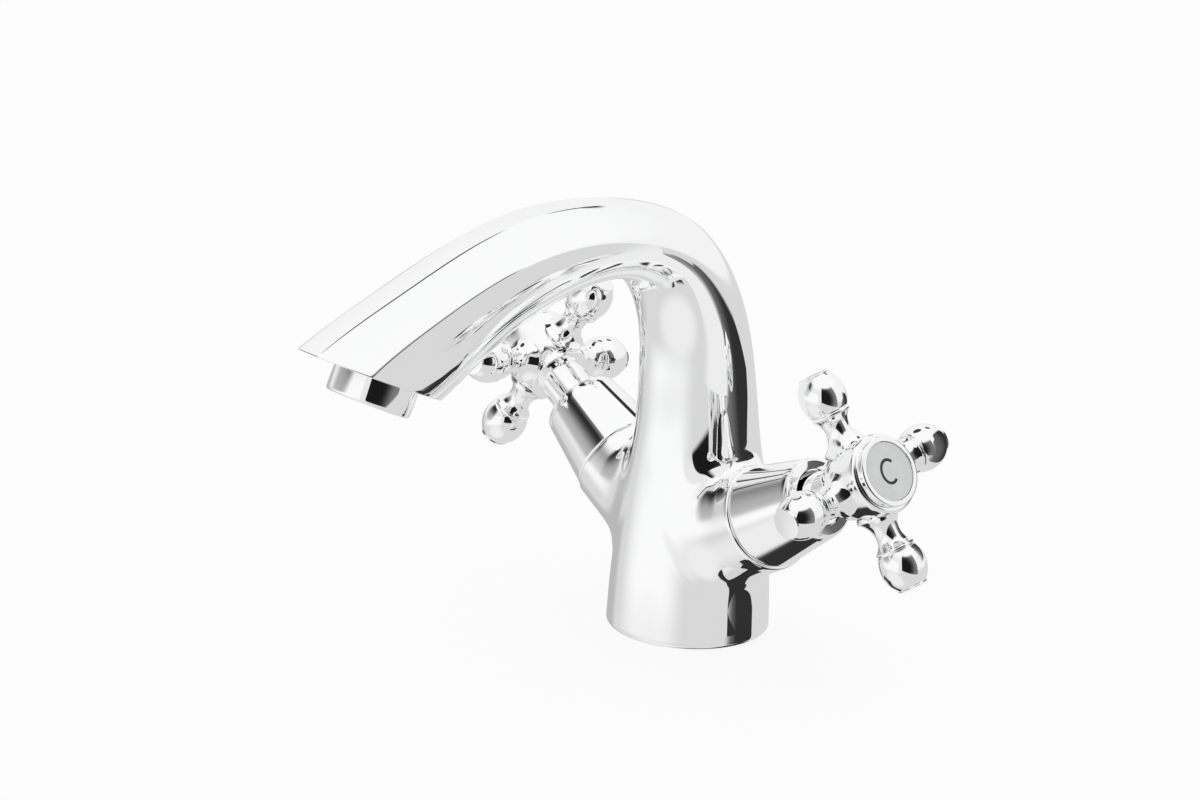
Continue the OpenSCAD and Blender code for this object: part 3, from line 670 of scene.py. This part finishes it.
def spout_end(shell, ring):
    """The spout past the bend: every column runs to the end face and turns over a small round."""
    fine = np.linspace(BEND_END, LAST, FINE * int(LAST - BEND_END) + 1)
    table = whole_rings(body_rows(fine))
    j = np.arange(table.shape[1])
    normal = np.array([0, math.sin(OUTLET_TILT), math.cos(OUTLET_TILT)])
    across = np.array([0, math.cos(OUTLET_TILT), -math.sin(OUTLET_TILT)])
    seat_at = np.array([0, -REACH, OUTLET_H])
    high_of = (table - seat_at) @ normal

    def point(place):
        at = np.clip((place - BEND_END) * FINE, 0, len(fine) - 1.001)
        i = at.astype(int)
        t = (at - i)[:, None]
        return table[i, j] * (1 - t) + table[i + 1, j] * t

    cross = np.argmax(high_of < 0, axis=0)
    above = high_of[cross - 1, j]
    below = high_of[cross, j]
    end = fine[cross - 1] + above / (above - below) / FINE
    corner = point(end)
    pace = np.linalg.norm(corner - point(end - 2 / FINE), axis=1) * FINE / 2
    stop = end - TIP_ROUND / pace
    for k in range(1, TIP_ROWS + 1):
        ring = shell.grow(ring, point(BEND_END + (stop - BEND_END) * k / TIP_ROWS))
    before = point(stop)
    tangent = np.roll(corner, -1, 0) - np.roll(corner, 1, 0)
    inward = np.cross(normal, tangent)
    inward *= np.sign(np.sum(inward * (seat_at - corner), axis=1))[:, None]
    inward /= np.linalg.norm(inward, axis=1)[:, None]
    after = corner + TIP_ROUND * inward
    for t in (0.2, 0.4, 0.6, 0.8, 1.0):
        ring = shell.grow(ring, (1 - t) ** 2 * before + 2 * t * (1 - t) * corner + t * t * after)
    turned = np.arctan2((after - seat_at) @ across, after[:, 0])
    for h in (0, OUTLET_BORE_DEPTH):
        ring = shell.grow(ring, round_outlet(h, OUTLET_BORE_R, turned))
    shell.fan(ring)


def body_shell():
    shell = Shell()
    start = FOOT_EDGE / (ARCH_H * COLUMN_STEP)
    places = np.linspace(start, BEND_END, int((BEND_END - start) / ROW_STEP) + 1)
    half = body_rows(places)
    rings = whole_rings(half)
    ids = [shell.add(row) for row in rings]
    rim = open_column(shell, ids, places, half)
    branches(shell, ids, rim, half)
    foot(shell, ids[0], rings[0])
    spout_end(shell, ids[-1])
    return shell


body = build("tap_body_casting", body_shell(), chrome, fill_flat=True)
seat(body, "tap_body", "chrome", "body_casting")


# Profiles of the valves' pieces, as distances from the branch's end and radii
SHROUD_R = 15.6
SHROUD_TIP_R = 12.1
SHROUD_LEN = 24.0
SHROUD_EDGE = 0.8


def shroud_outline():
    slope = (SHROUD_TIP_R - SHROUD_R) / SHROUD_LEN
    outline = arc((SHROUD_EDGE, 15.48 - SHROUD_EDGE), SHROUD_EDGE, -90, -2, 6)
    outline += [(f, SHROUD_R + slope * f) for f in np.linspace(1.2, 22.9, 12)]
    outline += arc((23.0, 11.1), 1.0, 8, 90, 6)
    outline += [(SHROUD_LEN, 8.7), (23.6, 8.3), (18.9, 8.3), (18.9, 6.4), (18.0, 6.4), (18.0, 8.3)]
    outline += [(15.0, 8.3), (15.0, 10.05), (9.0, 10.05), (9.0, 12.0), (0.0, 13.3)]
    return outline


def swelling(start, length, r, rise, first):
    """A stretch of the hub that widens at once and then levels off."""
    shares = np.linspace(first, 1, 10)
    return [(start + length * t, r + rise * math.sin(math.pi / 2 * t)) for t in shares]


def hub_outline():
    """The hub with the skirt that reaches into the shroud."""
    outline = [(19.9, 7.3), (35.7, 7.3), (36.3, 7.9), (36.3, 9.6)]
    outline += arc((36.7, 9.6), 0.4, -60, 0, 3)
    outline += [(37.7, 10.0), (38.0, 9.4), (38.6, 9.4), (39.1, 10.2)]
    outline += swelling(39.1, 4.7, 10.2, 1.2, 0.08)
    outline += swelling(ARMS_AT, 8.8, 11.4, 0.6, 0.1)
    outline += arc((52.6, 10.7), 1.3, 12, 90, 6)
    outline += [(53.9, 8.95), (51.2, 8.95), (51.2, 6.0), (50.0, 6.0), (50.0, 2.2), (48.5, 2.2)]
    outline += [(48.5, 4.15), (32.3, 4.15), (32.3, 5.8), (19.5, 5.8), (19.5, 6.9)]
    return outline


# An arm from the hub out: a waist between two hollows, a bead and a knob
ARM_COUNT = 4
ROOT_AT = 10.5
ROOT_MOST = 7.0
WAIST_AT = 17.0
ARM_R = 3.8
ROOT_R = 7.0
SHOULDER_R = 5.2
BEAD_AT = 21.5
BEAD_R = 5.9
BEAD_EDGE = 0.7
KNOB_AT = 26.9
KNOB_R = 7.0
BARREL_R = 9.2
KNOB_TIP = 33.9


def arm_outline():
    def hollow(r, away):
        return min(ARM_R + r - math.sqrt(r * r - away * away), ROOT_MOST)

    outline = [(d, hollow(ROOT_R, WAIST_AT - d)) for d in np.linspace(ROOT_AT, WAIST_AT, 14)]
    outline = [(9.6, outline[0][1] - 0.4)] + outline
    outline += [(d, hollow(SHOULDER_R, d - WAIST_AT)) for d in np.linspace(17.4, BEAD_AT - 0.75, 9)]
    outline += arc((BEAD_AT, BEAD_R - BEAD_EDGE), BEAD_EDGE, -68, 62, 8)
    for d in np.linspace(22.35, 33.1, 24):
        outline.append((d, KNOB_R - BARREL_R + math.sqrt(BARREL_R**2 - (d - KNOB_AT) ** 2)))
    outline += [(33.25, 4.45)]
    outline += arc((KNOB_TIP - 0.35, 4.25), 0.35, 0, 90, 4)
    return outline


def arm_round(d, r, w):
    """An arm lies along X, across the valve's axis, which is Z here."""
    return np.stack([d + 0 * w, r * np.cos(w), ARMS_AT + r * np.sin(w)], axis=-1)


def arms_tree():
    """Sets one arm round the axis as often as asked."""
    tree = bpy.data.node_groups.new("arms_round_hub", "GeometryNodeTree")
    sockets = {}
    for label, kind in (("Arm", "NodeSocketObject"), ("Count", "NodeSocketInt"),
                        ("First angle", "NodeSocketFloat"), ("Finish", "NodeSocketMaterial")):
        sockets[label] = tree.interface.new_socket(label, in_out="INPUT", socket_type=kind).identifier
    tree.interface.new_socket("Arms", in_out="OUTPUT", socket_type="NodeSocketGeometry")
    given = tree.nodes.new("NodeGroupInput")
    arm = tree.nodes.new("GeometryNodeObjectInfo")
    places = tree.nodes.new("GeometryNodeMeshLine")
    places.inputs["Offset"].default_value = (0, 0, 0)
    index = tree.nodes.new("GeometryNodeInputIndex")
    step = tree.nodes.new("ShaderNodeMath")
    step.operation = "DIVIDE"
    step.inputs[0].default_value = 2 * math.pi
    angle = tree.nodes.new("ShaderNodeMath")
    angle.operation = "MULTIPLY_ADD"
    about = tree.nodes.new("ShaderNodeCombineXYZ")
    way = tree.nodes.new("FunctionNodeEulerToRotation")
    spokes = tree.nodes.new("GeometryNodeInstanceOnPoints")
    real = tree.nodes.new("GeometryNodeRealizeInstances")
    finish = tree.nodes.new("GeometryNodeSetMaterial")
    out = tree.nodes.new("NodeGroupOutput")
    for source, target in (
        (given.outputs["Arm"], arm.inputs["Object"]),
        (given.outputs["Count"], places.inputs["Count"]),
        (given.outputs["Count"], step.inputs[1]),
        (index.outputs["Index"], angle.inputs[0]),
        (step.outputs["Value"], angle.inputs[1]),
        (given.outputs["First angle"], angle.inputs[2]),
        (angle.outputs["Value"], about.inputs["Z"]),
        (about.outputs["Vector"], way.inputs["Euler"]),
        (places.outputs["Mesh"], spokes.inputs["Points"]),
        (arm.outputs["Geometry"], spokes.inputs["Instance"]),
        (way.outputs["Rotation"], spokes.inputs["Rotation"]),
        (spokes.outputs["Instances"], real.inputs["Geometry"]),
        (real.outputs["Geometry"], finish.inputs["Geometry"]),
        (given.outputs["Finish"], finish.inputs["Material"]),
        (finish.outputs["Geometry"], out.inputs["Arms"]),
    ):
        tree.links.new(source, target)
    return tree, sockets


def arms(name, side, tree, sockets):
    """The handle's arms as one mesh, turned onto their valve's axis."""
    arm = build(f"{name}_arm", lathe(arm_outline(), arm_round, 64, loop=False), chrome)
    holder = placed(f"{name}_arms", bpy.data.meshes.new(f"{name}_arms"))
    nodes = holder.modifiers.new("arms", "NODES")
    nodes.node_group = tree
    nodes[sockets["Arm"]] = arm
    nodes[sockets["Count"]] = ARM_COUNT
    nodes[sockets["First angle"]] = HANDLE_TURN
    nodes[sockets["Finish"]] = chrome
    mesh = plain_mesh(holder)
    holder.modifiers.clear()
    holder.data = mesh
    bpy.data.objects.remove(arm)
    c, n = math.cos(VALVE_TILT), math.sin(VALVE_TILT)
    rows = ((n, 0, side * c, side * BRANCH_LEN * c * MM), (0, 1, 0, 0),
            (-side * c, 0, n, (VALVE_H + BRANCH_LEN * n) * MM), (0, 0, 0, 1))
    mesh.transform(Matrix(rows))
    return holder


def letter_c():
    """Strokes of the mark on the cold plate, as closed outlines."""
    turns = np.radians(np.linspace(48, 312, 34))
    outer = [(3.3 * math.cos(w), 3.9 * math.sin(w)) for w in turns]
    inner = [(2.45 * math.cos(w), 3.05 * math.sin(w)) for w in turns[::-1]]
    return [outer + inner]


def letter_h():
    """Strokes of the mark on the hot plate."""
    stem = [(-0.42, -3.8), (0.42, -3.8), (0.42, 3.8), (-0.42, 3.8)]
    bar = [(-2.3, -0.4), (2.3, -0.4), (2.3, 0.4), (-2.3, 0.4)]
    return [[(x - 2.5, y) for x, y in stem], [(x + 2.5, y) for x, y in stem], bar]


MARKS = {"cold": letter_c(), "hot": letter_h()}
PLATE_FACE = 55.7
MARK_T = 0.06
MARK_SUNK = 0.05
# How much lower a stroke's face lies than the one before, where they cross
MARK_STEP = 0.004


def mark_shell(side, strokes):
    """Thin solid strokes, let into a plate's face."""
    shell = Shell()
    for k, stroke in enumerate(strokes):
        lift = MARK_T - MARK_STEP * k
        across = np.array([side * a for a, _ in stroke])
        up = np.array([b for _, b in stroke])
        low = shell.add(off_axis(side, BRANCH_LEN + (PLATE_FACE - MARK_SUNK), across, up))
        high = shell.grow(low, off_axis(side, BRANCH_LEN + (PLATE_FACE + lift), across, up))
        shell.faces.append(tuple(high))
        shell.faces.append(tuple(reversed(low)))
    return shell


def bezel_outline():
    outline = [(53.9, 10.5)] + arc((55.5, 9.9), 0.6, 0, 90, 5) + [(56.1, 8.95), (56.0, 8.85)]
    return outline + [(54.7, 8.85), (54.7, 7.9), (51.4, 7.9), (51.4, 8.9), (53.9, 8.9)]


def plate_outline():
    return [(54.7, 8.7), (54.75, 8.8), (55.6, 8.8), (PLATE_FACE, 8.7)]


def aerator_outline():
    """The ring under the spout, from its seat down and back up to its thread."""
    outline = [(0, 12.2), (-0.3, 12.5), (-6.6, 12.5), (-7.2, 12.38), (-7.55, 12.15), (-7.7, 11.8)]
    outline += [(-7.7, 9.8), (-7.5, 9.6), (-6.7, 9.6), (-6.7, 10.6), (3.8, 10.6), (3.8, 11.8)]
    return outline + [(0, 11.8)]


spokes = arms_tree()
for name, side in SIDES.items():
    place = round_valve(side)
    moving = f"{name}_turn"

    shroud = build(f"{name}_shroud_cover", lathe(shroud_outline(), place, 128), chrome)
    seat(shroud, "tap_body", "chrome", f"{name}_shroud")

    hub = build(f"{name}_hub", lathe(hub_outline(), place, 144), chrome)
    handle = joined(f"{name}_cross_handle", hub, arms(name, side, *spokes))
    seat(handle, moving, "chrome", f"{name}_handle")

    bezel = build(f"{name}_bezel", lathe(bezel_outline(), place, 128), chrome)
    seat(bezel, moving, "chrome", f"{name}_index_ring")

    plate = build(f"{name}_plate", lathe(plate_outline(), place, 96, loop=False), enamel)
    seat(plate, moving, "enamel", f"{name}_index_plate")

    mark = build(f"{name}_mark", mark_shell(side, MARKS[name]), ink)
    seat(mark, moving, "enamel")

aerator = build("aerator_ring", lathe(aerator_outline(), round_outlet, 128), chrome)
seat(aerator, "tap_body", "chrome", "aerator_housing")


# Finishes for the solids that stay: those in each valve, and those of the body
IN_VALVE = {
    "bonnet_seal": rubber,
    "spindle_seals": rubber,
    "seat_washer": rubber,
    "bonnet": brass,
    "spindle": brass,
    "fixed_disc": ceramic,
    "moving_disc": ceramic,
    "spindle_clip": steel,
    "handle_screw": steel,
}
IN_BODY = {
    "base_seal": rubber,
    "aerator_washer": rubber,
    "aerator_insert": plastic,
    "aerator_screen": steel,
}
solids = dict(IN_BODY)
for name in SIDES:
    solids.update({f"{name}_{part}": material for part, material in IN_VALVE.items()})
for node, material in solids.items():
    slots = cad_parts[node].data.materials
    slots.clear()
    slots.append(material)


# Studio
def along_way(tree, source, direction):
    """How far a vector reaches along a direction."""
    reach = tree.nodes.new("ShaderNodeVectorMath")
    reach.operation = "DOT_PRODUCT"
    reach.inputs[1].default_value = direction
    tree.links.new(source, reach.inputs[0])
    return reach.outputs["Value"]


def eased(tree, source, low, high, first=0.0, last=1.0):
    """Goes smoothly from the first value to the last as the source goes from low to high."""
    span = tree.nodes.new("ShaderNodeMapRange")
    span.interpolation_type = "SMOOTHSTEP"
    for name, value in (("From Min", low), ("From Max", high), ("To Min", first), ("To Max", last)):
        span.inputs[name].default_value = value
    tree.links.new(source, span.inputs["Value"])
    return span.outputs["Result"]


def multiplied(tree, *shares):
    out = shares[0]
    for share in shares[1:]:
        both = tree.nodes.new("ShaderNodeMath")
        both.operation = "MULTIPLY"
        tree.links.new(out, both.inputs[0])
        tree.links.new(share, both.inputs[1])
        out = both.outputs[0]
    return out


def flat_card(name, corners, material):
    """One flat face that isn't part of the tap."""
    mesh = bpy.data.meshes.new(name)
    mesh.from_pydata(corners, [], [tuple(range(len(corners)))])
    mesh.materials.append(material)
    obj = placed(name, mesh)
    return obj


# Levels that the metal mirrors: a dark card, the table, and the table close by
DARK = 0.03
TABLE = 0.71
NEAR = 0.88

FLOOR_HALF = 3.0
FLOOR_SEEN = 0.88


def floor():
    """A pale floor that takes the tap's shadow and is nearly white to the camera."""
    material, tree, shader = tree_of("white_floor")
    shader.inputs["Base Color"].default_value = (0.9, 0.9, 0.9, 1)
    shader.inputs["Roughness"].default_value = 0.9
    glow = tree.nodes.new("ShaderNodeEmission")
    path = tree.nodes.new("ShaderNodeLightPath")
    seen = tree.nodes.new("ShaderNodeMath")
    seen.operation = "MAXIMUM"
    share = tree.nodes.new("ShaderNodeMath")
    share.operation = "MULTIPLY"
    share.inputs[1].default_value = FLOOR_SEEN
    mix = tree.nodes.new("ShaderNodeMixShader")
    tree.links.new(path.outputs["Is Camera Ray"], seen.inputs[0])
    tree.links.new(path.outputs["Is Transmission Ray"], seen.inputs[1])
    tree.links.new(seen.outputs[0], share.inputs[0])
    tree.links.new(share.outputs[0], mix.inputs["Fac"])
    tree.links.new(shader.outputs[0], mix.inputs[1])
    tree.links.new(glow.outputs[0], mix.inputs[2])
    tree.links.new(mix.outputs[0], tree.nodes["Material Output"].inputs["Surface"])
    corners = [(x * FLOOR_HALF, y * FLOOR_HALF, 0) for x, y in ((-1, -1), (1, -1), (1, 1), (-1, 1))]
    flat_card("floor", corners, material).visible_glossy = False


class Sky:
    """Builds the studio's pattern from shares that run from 0 to 1 over the directions."""

    def __init__(self, tree):
        self.tree = tree
        self.way = tree.nodes.new("ShaderNodeTexCoord").outputs["Generated"]

    def side(self, normal, low, high):
        """Runs from 0 to 1 as the part along a normal goes from low to high."""
        return eased(self.tree, along_way(self.tree, self.way, normal), low, high)

    def towards(self, turn_deg, rise_deg, low, high):
        """Runs from 0 to 1 as the cosine of the angle to a direction goes from low to high."""
        w, e = math.radians(turn_deg), math.radians(rise_deg)
        return self.side((math.cos(w) * math.cos(e), math.sin(w) * math.cos(e), math.sin(e)), low, high)

    def over(self, under, level, share):
        """Lays a level, a number or a share, over what is there already."""
        mix = self.tree.nodes.new("ShaderNodeMix")
        for socket, value in ((mix.inputs["A"], under), (mix.inputs["B"], level)):
            if isinstance(value, float):
                socket.default_value = value
            else:
                self.tree.links.new(value, socket)
        self.tree.links.new(share, mix.inputs["Factor"])
        return mix.outputs["Result"]


def studio():
    """White to the camera; the metal sees a bright ceiling, pale walls, a table and a dark room."""
    world = bpy.data.worlds.new("studio")
    bpy.context.scene.world = world
    world.use_nodes = True
    tree = world.node_tree
    sky = Sky(tree)
    up = (0, 0, 1)

    # Pale walls, brighter behind the tap, and a white ceiling
    level = sky.over(0.84, 0.93, sky.towards(100, 20, -0.2, 0.8))
    level = sky.over(level, 1.0, sky.side(up, 0.4, 0.85))

    # The table: it glows in front, is duller at the left and a little paler close in front
    glow = multiplied(tree, sky.towards(-104, -8, 0.55, 0.97), sky.side(up, -0.46, -0.22))
    table = sky.over(TABLE, 1.0, glow)
    table = sky.over(table, 0.5, sky.towards(163, -20, 0.86, 0.98))
    table = sky.over(table, NEAR, sky.towards(-95, -48, 0.78, 0.95))
    level = sky.over(level, table, sky.side(up, 0.0, -0.08))

    # The softbox in front, from just below the horizon up
    front = multiplied(tree, sky.towards(-152, 0, 0.0, 0.1), sky.towards(-48, 0, 0.2, 0.3),
                       sky.side(up, 0.5, 0.25), sky.side(up, -0.25, 0.0))
    level = sky.over(level, 1.0, front)

    # The wall at the front left, darker towards its top
    wall = multiplied(tree, sky.towards(-137, 24, 0.8, 0.96), sky.side(up, -0.22, 0.02),
                      sky.side(up, 0.74, 0.73))
    level = sky.over(level, eased(tree, sky.side(up, 0.0, 0.7), 0, 1, 0.46, 0.02), wall)

    # The dark room behind the camera, darkest in its middle
    room = multiplied(tree, sky.towards(39, 0, 0.0, 0.03), sky.towards(-64, 0, 0.0, 0.03),
                      sky.side((0.244, 0.089, 0.966), -0.03, 0.02), sky.side(up, 0.84, 0.7))
    level = sky.over(level, eased(tree, sky.towards(-38, 10, 0.45, 0.995), 0, 1, 0.2, 0.01), room)

    # Two small dark cards overhead
    level = sky.over(level, DARK, sky.towards(121, 43, 0.9925, 0.9955))
    level = sky.over(level, 0.04, sky.towards(163, 58, 0.976, 0.984))

    # Only mirrored rays see the pattern
    path = tree.nodes.new("ShaderNodeLightPath")
    level = sky.over(0.92, level, path.outputs["Is Glossy Ray"])
    level = sky.over(level, 1.0, path.outputs["Is Camera Ray"])
    tree.links.new(level, tree.nodes["Background"].inputs["Color"])


def board(name, corners, light):
    """A card beside the tap that only the metal sees."""
    material, tree, _ = tree_of(name)
    glow = tree.nodes.new("ShaderNodeEmission")
    glow.inputs["Color"].default_value = (light, light, light, 1)
    tree.links.new(glow.outputs[0], tree.nodes["Material Output"].inputs["Surface"])
    obj = flat_card(name, [tuple(c * MM for c in p) for p in corners], material)
    obj.visible_camera = False
    obj.visible_diffuse = False
    obj.visible_shadow = False
    return tree, glow


def fade(tree, glow, edges, shade):
    """Lets a board end softly and shades it.

    An edge is a direction and two distances along it, from clear to full. The shade is a direction,
    two distances along it, and the levels there.
    """
    place = tree.nodes.new("ShaderNodeTexCoord").outputs["Object"]

    def run(direction, low, high, *levels):
        return eased(tree, along_way(tree, place, direction), low * MM, high * MM, *levels)

    tree.links.new(run(*shade), glow.inputs["Color"])
    clear = tree.nodes.new("ShaderNodeBsdfTransparent")
    mix = tree.nodes.new("ShaderNodeMixShader")
    tree.links.new(multiplied(tree, *(run(*edge) for edge in edges)), mix.inputs["Fac"])
    tree.links.new(clear.outputs[0], mix.inputs[1])
    tree.links.new(glow.outputs[0], mix.inputs[2])
    tree.links.new(mix.outputs[0], tree.nodes["Material Output"].inputs["Surface"])


DIAGONAL = math.sqrt(0.5)


def stood(away, outline):
    """Corners of a board that faces the tap from behind at the right, given across and up."""
    return [((away - x) * DIAGONAL, (away + x) * DIAGONAL, z) for x, z in outline]


def lying(height, outline):
    return [(x, y, height) for x, y in outline]


# Outlines of the boards: across and up, across and back, or back and up
BACK = ((-70, 49), (10, 49), (23, 54), (31, 58), (37, 65), (26, 74), (16, 83), (12, 89), (-2, 97),
        (-20, 104), (-29, 100), (-34, 91), (-41, 88), (-44, 77), (-52, 72), (-70, 72))
LOW = ((-48, -22), (-5.6, -22), (-5.6, 6), (-24, 6), (-28, 2.5), (-48, 2.5))
UNDER = ((34, -24), (64, -22), (64, 4.5), (38, 4.5), (34, 14))
DEEP = ((66, 12), (58, 8), (47, 2), (31, -4), (28, -16), (21, -25), (8, -25), (10, -14), (5, 18),
        (9, 36), (14, 46), (60, 46), (66, 40))
HIGH = ((-34, 70), (5, 70), (5, 86), (0, 91), (-4, 97), (-10, 107), (-9, 128), (-34, 128))


def boards():
    """Dark cards behind the tap and under its right valve, and two pale ones."""
    across = (-DIAGONAL, DIAGONAL, 0)
    rearward = (0, 1, 0)

    # Behind at the right: the dark bands on the column and along the arch
    tilted = (-DIAGONAL, DIAGONAL, -0.14)
    top = (0.42 * DIAGONAL, -0.42 * DIAGONAL, -1)
    back = board("back_board", stood(90, BACK), DARK)
    fade(*back, ((tilted, -66, -48), (top, -96, -88)), (tilted, -50, -20, 0.13, DARK))

    # Below that one: part of the dark band on the foot
    low = board("low_board", stood(50, LOW), DARK)
    fade(*low, ((across, -47, -34),), (across, -36, -27, 0.12, DARK))

    # Under the right valve: the branch's underside and the rest of the band on the foot
    under = board("under_board", lying(0.6, UNDER), DARK)
    fade(*under, ((rearward, -21, -12),), (rearward, -20, -8, 0.1, DARK))
    board("deep_board", lying(-40, DEEP), DARK)

    # Pale ones: beside the foot, and right of the spout, where it is lightest low at the rear
    board("low_pale_board", [(34, -20, 0.6), (34, -3, 0.6), (34, -3, 14), (34, -20, 14)], TABLE)
    high = board("high_pale_board", [(45, y, z) for y, z in HIGH], NEAR)
    fade(*high, ((rearward, -34, -20),), ((0, 1, -0.6), -100, -77, TABLE, NEAR))


CAMERA_AT = (0.818, -0.7578, 0.4209)
CAMERA_TURN = math.radians(48.72)
CAMERA_DIP = math.radians(17.48)
CAMERA_ROLL = math.radians(2.57)
CAMERA_LENS = 116.1


def camera():
    data = bpy.data.cameras.new("camera")
    data.lens = CAMERA_LENS
    data.sensor_width = 36.0
    obj = placed("camera", data)
    a, e, roll = CAMERA_TURN, CAMERA_DIP, CAMERA_ROLL
    right = Vector((math.cos(a), math.sin(a), 0))
    back = Vector((math.sin(a) * math.cos(e), -math.cos(a) * math.cos(e), math.sin(e)))
    up = back.cross(right)
    x = right * math.cos(roll) + up * math.sin(roll)
    y = up * math.cos(roll) - right * math.sin(roll)
    obj.matrix_world = Matrix.Translation(CAMERA_AT) @ Matrix((x, y, back)).transposed().to_4x4()
    bpy.context.scene.camera = obj


floor()
studio()
boards()
camera()
bpy.context.scene.view_settings.view_transform = "Standard"
